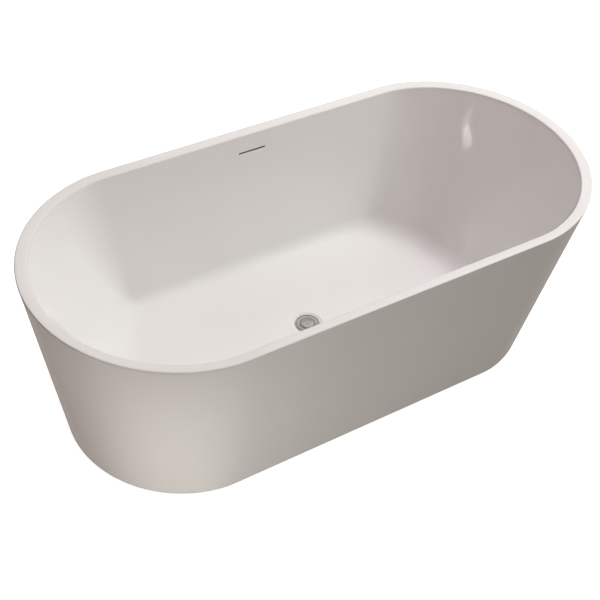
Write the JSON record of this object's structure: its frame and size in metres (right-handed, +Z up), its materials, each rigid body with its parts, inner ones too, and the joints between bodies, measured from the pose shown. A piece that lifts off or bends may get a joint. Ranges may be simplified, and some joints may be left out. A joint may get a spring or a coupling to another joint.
{
  "type": "freestanding bathtub",
  "caption": "Oval double-walled freestanding bath with leaning ends, a rim that falls slightly inwards, a slot overflow, a pop-up waste in the floor and a steel frame on screw feet.",
  "frame": {"origin": "centre of the bath's footprint, on the floor under its feet", "axes": "+X along the length of the bath, +Y towards the long wall with the overflow slot, +Z up"},
  "size_m": [1.7, 0.8, 0.58],
  "materials": {
    "acrylic": "gloss",
    "plywood": "raw",
    "galvanised_steel": "hot-dip galvanised",
    "zinc_plated_steel": "bright zinc",
    "black_plastic": "moulded",
    "chrome": "polished",
    "rubber": "moulded",
    "waste_plastic": "moulded",
    "hose_plastic": "corrugated"
  },
  "bodies": {
    "bath": {"basin_shell": "acrylic", "outer_skirt": "acrylic", "base_board": "plywood", "long_rail_front": "galvanised_steel", "long_rail_rear": "galvanised_steel", "cross_member_left": "galvanised_steel", "cross_member_middle": "galvanised_steel", "cross_member_right": "galvanised_steel", "skirt_bracket_1": "galvanised_steel", "skirt_bracket_2": "galvanised_steel", "skirt_bracket_3": "galvanised_steel", "skirt_bracket_4": "galvanised_steel", "weld_nut_1": "zinc_plated_steel", "weld_nut_2": "zinc_plated_steel", "weld_nut_3": "zinc_plated_steel", "weld_nut_4": "zinc_plated_steel", "weld_nut_5": "zinc_plated_steel", "lock_nut_1": "zinc_plated_steel", "lock_nut_2": "zinc_plated_steel", "lock_nut_3": "zinc_plated_steel", "lock_nut_4": "zinc_plated_steel", "lock_nut_5": "zinc_plated_steel", "rail_screw_1": "zinc_plated_steel", "rail_screw_2": "zinc_plated_steel", "rail_screw_3": "zinc_plated_steel", "rail_screw_4": "zinc_plated_steel", "rail_screw_5": "zinc_plated_steel", "rail_screw_6": "zinc_plated_steel", "bracket_screw_1": "zinc_plated_steel", "bracket_screw_2": "zinc_plated_steel", "bracket_screw_3": "zinc_plated_steel", "bracket_screw_4": "zinc_plated_steel", "hose_clamp_upper": "zinc_plated_steel", "hose_clamp_lower": "zinc_plated_steel", "overflow_chamber": "black_plastic", "drain_flange": "chrome", "drain_gasket_upper": "rubber", "drain_gasket_lower": "rubber", "overflow_gasket": "rubber", "drain_lock_nut": "waste_plastic", "plug_cartridge": "waste_plastic", "waste_tee": "waste_plastic", "tee_slip_nut": "waste_plastic", "overflow_hose": "hose_plastic"},
    "foot_1": {"foot_pad_1": "black_plastic", "foot_stud_1": "zinc_plated_steel"},
    "foot_2": {"foot_pad_2": "black_plastic", "foot_stud_2": "zinc_plated_steel"},
    "foot_3": {"foot_pad_3": "black_plastic", "foot_stud_3": "zinc_plated_steel"},
    "foot_4": {"foot_pad_4": "black_plastic", "foot_stud_4": "zinc_plated_steel"},
    "foot_5": {"foot_pad_5": "black_plastic", "foot_stud_5": "zinc_plated_steel"},
    "plug": {"plug_cap": "chrome", "plug_stem": "waste_plastic", "plug_seal": "rubber"}
  },
  "joints": [
    {"name": "plug_lift", "type": "slide", "parent": "bath", "child": "plug", "axis": [0, 0, 1], "range_m": [0, 0.009]},
    {"name": "foot_1_height", "type": "slide", "parent": "bath", "child": "foot_1", "axis": [0, 0, 1], "range_m": [-0.015, 0.005]},
    {"name": "foot_2_height", "type": "slide", "parent": "bath", "child": "foot_2", "axis": [0, 0, 1], "range_m": [-0.015, 0.005]},
    {"name": "foot_3_height", "type": "slide", "parent": "bath", "child": "foot_3", "axis": [0, 0, 1], "range_m": [-0.015, 0.005]},
    {"name": "foot_4_height", "type": "slide", "parent": "bath", "child": "foot_4", "axis": [0, 0, 1], "range_m": [-0.015, 0.005]},
    {"name": "foot_5_height", "type": "slide", "parent": "bath", "child": "foot_5", "axis": [0, 0, 1], "range_m": [-0.015, 0.005]}
  ]
}
